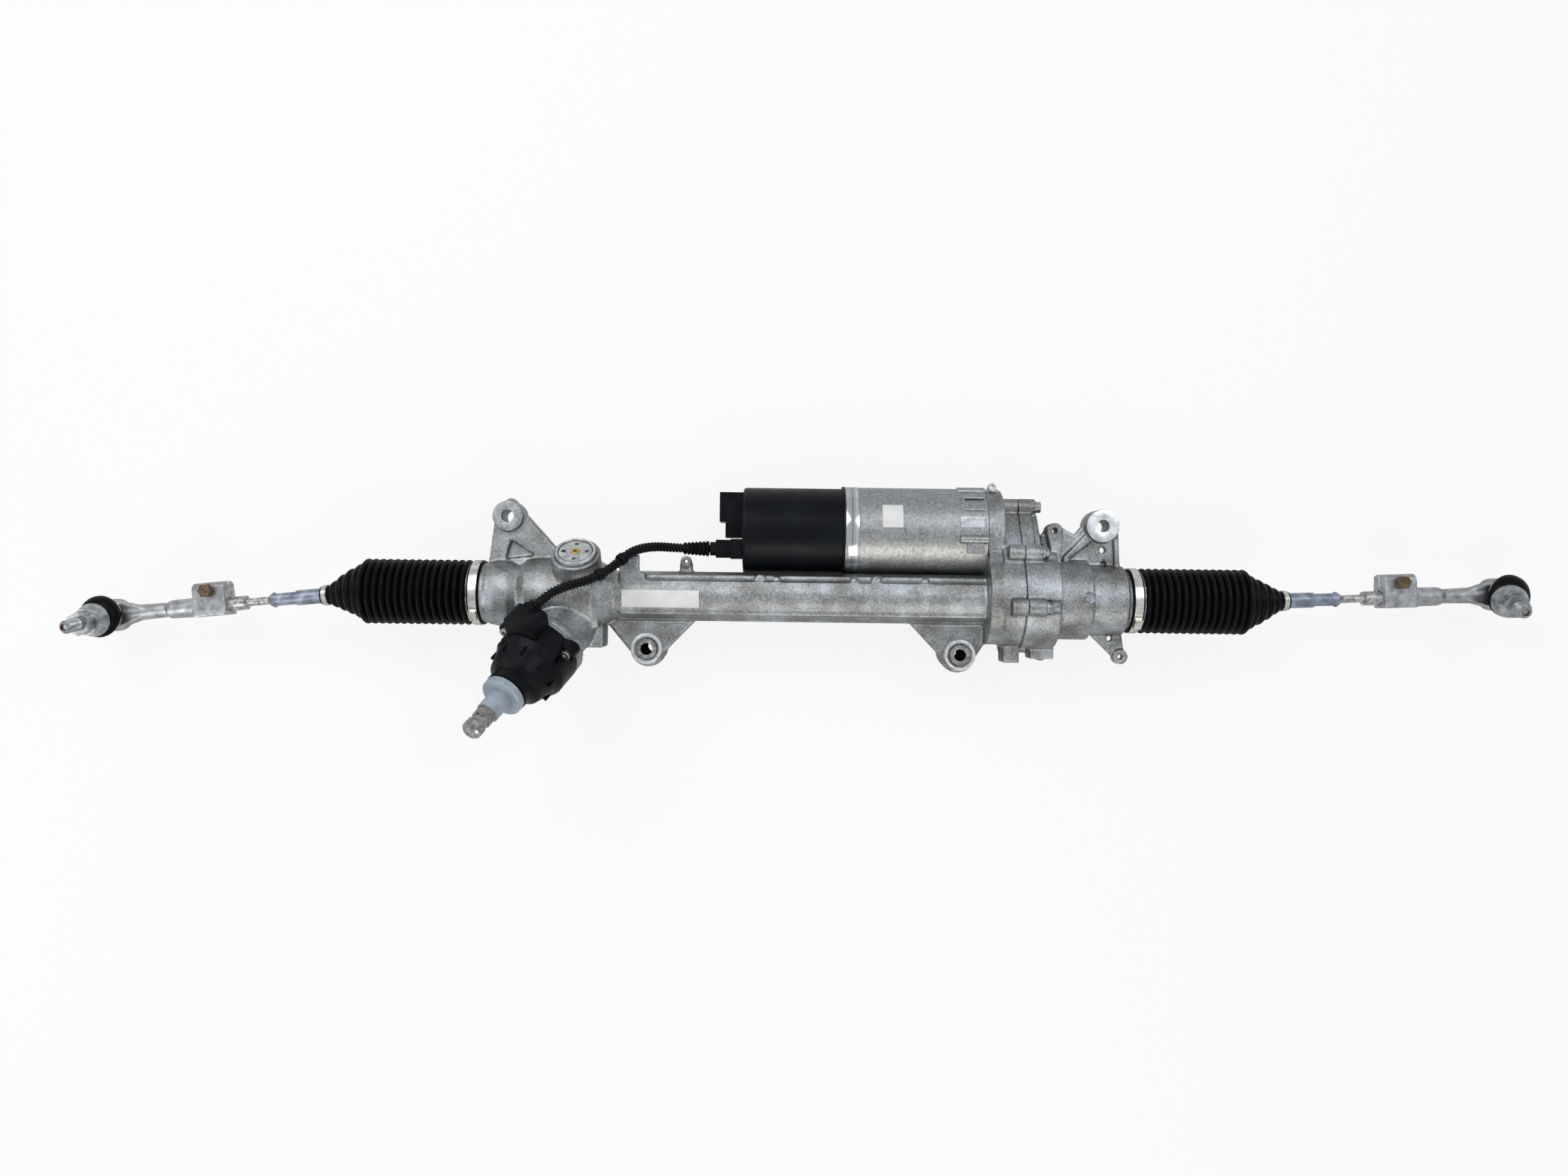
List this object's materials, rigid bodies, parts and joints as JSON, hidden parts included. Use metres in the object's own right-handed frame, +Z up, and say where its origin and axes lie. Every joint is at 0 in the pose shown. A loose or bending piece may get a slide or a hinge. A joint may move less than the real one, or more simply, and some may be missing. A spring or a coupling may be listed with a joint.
{
  "type": "electric power steering rack",
  "caption": "Belt-drive electric power-steering rack with pinion input, ball-nut drive, axis-parallel motor, bellows boots, tie rods and ball-joint ends.",
  "frame": {"origin": "middle of the bounding box on the plane that the lower bosses rest on", "axes": "+X along the rack bar towards the motor end, +Y to the motor side, +Z up along the mounting bolts"},
  "size_m": [1.4872, 0.2464, 0.1962],
  "materials": {
    "cast_aluminium": "satin die casting",
    "machined_steel": "machined",
    "zinc_plate": "zinc plated",
    "spring_steel": "oiled",
    "electrical_steel": "laminated",
    "copper_wire": "enamelled",
    "black_rubber": "moulded",
    "black_plastic": "moulded",
    "black_paint": "satin black",
    "grey_plastic": "moulded",
    "yellow_plastic": "moulded",
    "green_board": "solder mask",
    "white_label": "bare label",
    "coated_rod": "zinc-lamella coated",
    "forged_aluminium": "forged, blasted"
  },
  "bodies": {
    "housing": {"drive_belt": "black_rubber", "rack_yoke": "grey_plastic", "yoke_spring": "spring_steel", "yoke_cap": "zinc_plate", "yoke_cap_plug": "yellow_plastic", "shaft_seals": "black_rubber", "main_casting": "cast_aluminium", "ball_nut_cover": "cast_aluminium", "housing_screws": "zinc_plate", "mount_sleeves": "machined_steel", "bar_guides": "grey_plastic", "nut_bearing": "machined_steel", "pinion_bearings": "machined_steel", "motor_can": "cast_aluminium", "stator_core": "electrical_steel", "stator_coils": "copper_wire", "motor_bearings": "machined_steel", "electronics_cover": "black_paint", "control_board": "green_board", "motor_connectors": "black_plastic", "cable_fittings": "black_plastic", "sensor_flange": "cast_aluminium", "sensor_housing": "black_plastic", "sensor_board": "green_board", "sensor_cable": "black_plastic", "boot_left": "black_rubber", "large_boot_clamps": "zinc_plate", "boot_right": "black_rubber", "labels": "white_label"},
    "rack": {"toothed_rack_bar": "machined_steel", "ball_screw_shaft": "machined_steel", "inner_sockets": "machined_steel"},
    "ball_nut": {"ball_nut": "machined_steel", "nut_pulley": "machined_steel", "nut_balls": "machined_steel"},
    "motor_rotor": {"rotor_shaft": "machined_steel", "rotor_core": "electrical_steel", "motor_pulley": "machined_steel"},
    "pinion": {"pinion": "machined_steel", "torsion_bar": "machined_steel"},
    "input_shaft": {"input_shaft": "machined_steel", "shaft_collar": "grey_plastic"},
    "inner_seat_left": {"inner_seat_left": "grey_plastic"},
    "tie_rod_left": {"tie_rod_left": "coated_rod", "small_clamp_left": "zinc_plate"},
    "rod_end_left": {"rod_end_left": "forged_aluminium", "pinch_bolt_left": "zinc_plate", "dust_boot_left": "black_rubber"},
    "outer_seat_left": {"outer_seat_left": "grey_plastic"},
    "ball_stud_left": {"ball_stud_left": "machined_steel", "stud_nut_left": "zinc_plate"},
    "inner_seat_right": {"inner_seat_right": "grey_plastic"},
    "tie_rod_right": {"tie_rod_right": "coated_rod", "small_clamp_right": "zinc_plate"},
    "rod_end_right": {"rod_end_right": "forged_aluminium", "pinch_bolt_right": "zinc_plate", "dust_boot_right": "black_rubber"},
    "outer_seat_right": {"outer_seat_right": "grey_plastic"},
    "ball_stud_right": {"ball_stud_right": "machined_steel", "stud_nut_right": "zinc_plate"}
  },
  "joints": [
    {"name": "motor_turn", "type": "hinge", "parent": "housing", "child": "motor_rotor", "pos_m": [0.21421, 0.07687, 0.046], "axis": [1, 0, 0], "range_deg": [-10830.86, 10830.86]},
    {"name": "ball_nut_turn", "type": "hinge", "parent": "housing", "child": "ball_nut", "pos_m": [0.21621, 0.00987, 0.068], "axis": [1, 0, 0], "range_deg": [-4011.43, 4011.43]},
    {"name": "rack_slide", "type": "slide", "parent": "housing", "child": "rack", "axis": [1, 0, 0], "range_m": [-0.078, 0.078], "deforming": ["boot_left", "boot_right"]},
    {"name": "pinion_turn", "type": "hinge", "parent": "housing", "child": "pinion", "pos_m": [-0.22729, -0.00392, 0.05643], "axis": [-0.4067, -0.5872, 0.6998], "range_deg": [-510.34, 510.34]},
    {"name": "input_twist", "type": "hinge", "parent": "pinion", "child": "input_shaft", "pos_m": [-0.22729, -0.00392, 0.05643], "axis": [-0.4067, -0.5872, 0.6998], "range_deg": [-4, 4], "stiffness_Nm_per_rad": 100},
    {"name": "inner_swing_left", "type": "hinge", "parent": "rack", "child": "inner_seat_left", "pos_m": [-0.43979, 0.00987, 0.068], "axis": [0, 0, 1], "range_deg": [-15, 15]},
    {"name": "inner_lift_left", "type": "hinge", "parent": "inner_seat_left", "child": "tie_rod_left", "pos_m": [-0.43979, 0.00987, 0.068], "axis": [0, 1, 0], "range_deg": [-15, 15]},
    {"name": "toe_adjust_left", "type": "slide", "parent": "tie_rod_left", "child": "rod_end_left", "axis": [-0.9893, -0.1014, -0.1045], "range_m": [-0.005, 0.01]},
    {"name": "outer_swivel_left", "type": "hinge", "parent": "rod_end_left", "child": "outer_seat_left", "pos_m": [-0.72175, -0.01902, 0.03821], "axis": [-0.104, -0.0107, 0.9945], "range_deg": [-30, 30]},
    {"name": "outer_tilt_left", "type": "hinge", "parent": "outer_seat_left", "child": "ball_stud_left", "pos_m": [-0.72175, -0.01902, 0.03821], "axis": [0.8771, 0.4705, 0.0967], "range_deg": [-30.4, 17.1], "deforming": ["dust_boot_left"]},
    {"name": "inner_swing_right", "type": "hinge", "parent": "rack", "child": "inner_seat_right", "pos_m": [0.44021, 0.00987, 0.068], "axis": [0, 0, 1], "range_deg": [-15, 15]},
    {"name": "inner_lift_right", "type": "hinge", "parent": "inner_seat_right", "child": "tie_rod_right", "pos_m": [0.44021, 0.00987, 0.068], "axis": [0, 1, 0], "range_deg": [-15, 15]},
    {"name": "toe_adjust_right", "type": "slide", "parent": "tie_rod_right", "child": "rod_end_right", "axis": [0.9937, 0.0399, -0.1045], "range_m": [-0.005, 0.01]},
    {"name": "outer_swivel_right", "type": "hinge", "parent": "rod_end_right", "child": "outer_seat_right", "pos_m": [0.72342, 0.02124, 0.03821], "axis": [0.1044, 0.0042, 0.9945], "range_deg": [-30, 30]},
    {"name": "outer_tilt_right", "type": "hinge", "parent": "outer_seat_right", "child": "ball_stud_right", "pos_m": [0.72342, 0.02124, 0.03821], "axis": [0.5809, -0.8119, -0.0576], "range_deg": [-46.2, 1.3], "deforming": ["dust_boot_right"]}
  ],
  "couplings": [
    {"joint": "ball_nut_turn", "follows": "motor_turn", "ratio": 0.37037},
    {"joint": "rack_slide", "follows": "motor_turn", "m_per_rad": -0.00041262},
    {"joint": "pinion_turn", "follows": "motor_turn", "ratio": 0.047119}
  ]
}
